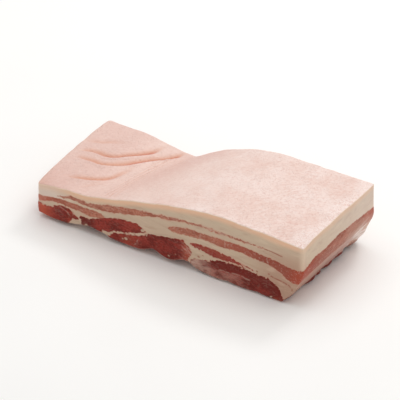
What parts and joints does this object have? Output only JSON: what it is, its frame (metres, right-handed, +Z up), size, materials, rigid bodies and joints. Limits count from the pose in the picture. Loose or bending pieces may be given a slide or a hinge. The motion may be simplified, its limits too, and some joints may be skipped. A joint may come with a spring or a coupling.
{
  "type": "pork belly slab",
  "caption": "Raw boneless pork belly slab with rind: a bent slab of white fat with streaks of lean running through it from cut to cut.",
  "frame": {"origin": "centre of the bounding box at its base, where the rib side lies on the table", "axes": "+X along the slab from its thin end to its thick end, +Y from the streaky front cut to the back cut, +Z up, from the rib side to the rind"},
  "size_m": [0.284, 0.12, 0.068],
  "materials": {
    "fat_and_rind": "soft, slightly moist pork fat under pink-white scalded rind",
    "pale_lean": "moist raw pork muscle, pale and streaky",
    "red_lean": "moist raw pork muscle, dark red, on the rib side"
  },
  "bodies": {
    "root": {"fat_and_rind": "fat_and_rind", "lean_upper_streak": "pale_lean", "lean_left_streak": "pale_lean", "lean_main_streak": "pale_lean", "lean_short_streak": "red_lean", "rib_lean_left": "red_lean", "rib_lean_middle": "red_lean", "rib_lean_lower": "red_lean", "rib_lean_right": "red_lean"}
  },
  "joints": []
}
